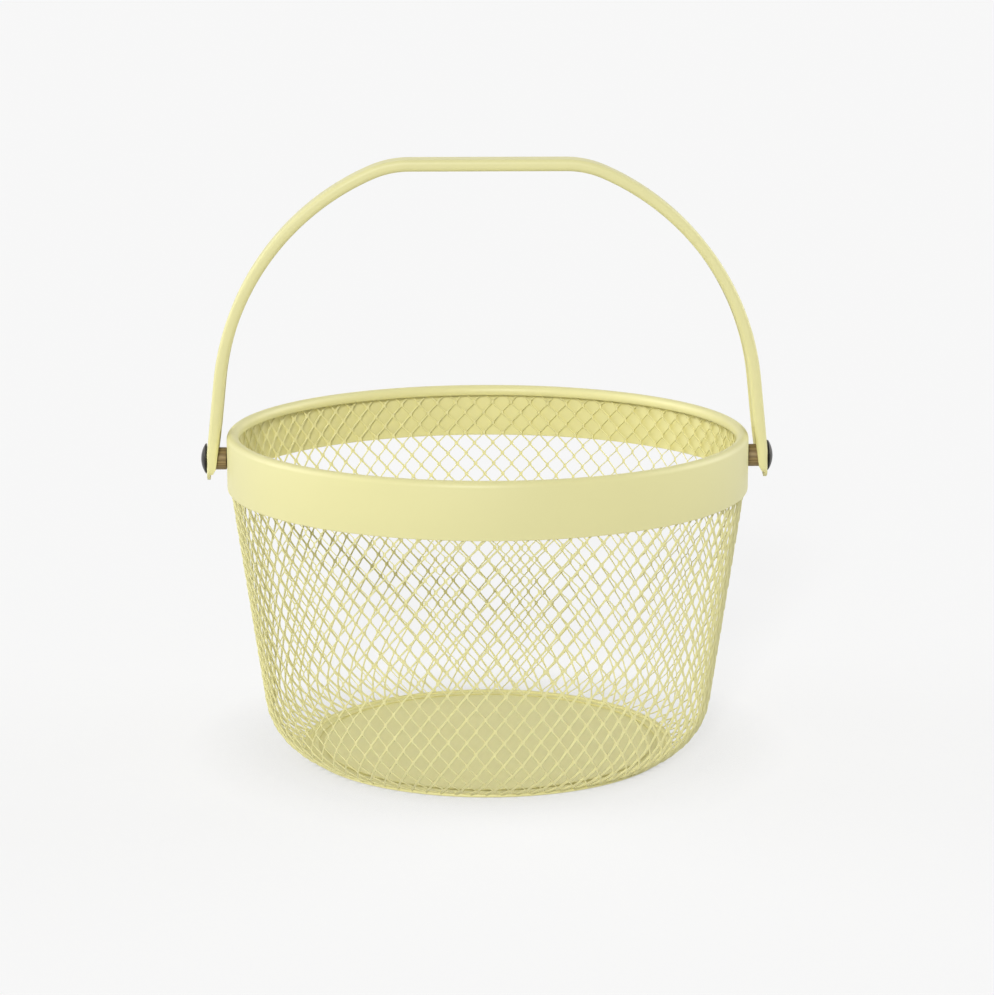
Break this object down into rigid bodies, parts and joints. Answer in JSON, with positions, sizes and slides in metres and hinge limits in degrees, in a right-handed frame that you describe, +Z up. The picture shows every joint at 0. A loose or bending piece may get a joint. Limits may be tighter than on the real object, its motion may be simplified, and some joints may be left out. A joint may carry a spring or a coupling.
{
  "type": "metal basket",
  "caption": "Round open basket of steel mesh with tapered walls, a rolled rim band, a flat base plate and a strap handle that swings on screws with wooden spacers.",
  "frame": {"origin": "centre of the base, on the floor that the hem stands on", "axes": "+Z up, X along the handle's swing axis, -Y towards the front"},
  "size_m": [0.264, 0.24, 0.2748],
  "materials": {
    "yellow_coating": "satin powder coating",
    "dark_steel": "dark polished",
    "bare_steel": "zinc plated",
    "brown_wood": "oiled"
  },
  "bodies": {
    "basket": {"mesh_wall": "yellow_coating", "base_plate": "yellow_coating", "rim_band": "yellow_coating", "left_screw": "dark_steel", "left_spacer": "brown_wood", "left_washer": "bare_steel", "left_nut": "bare_steel", "right_screw": "dark_steel", "right_spacer": "brown_wood", "right_washer": "bare_steel", "right_nut": "bare_steel"},
    "handle": {"handle": "yellow_coating"}
  },
  "joints": [
    {"name": "handle_swing", "type": "hinge", "parent": "basket", "child": "handle", "pos_m": [0, 0, 0.137], "axis": [1, 0, 0], "range_deg": [-119, 119]}
  ]
}
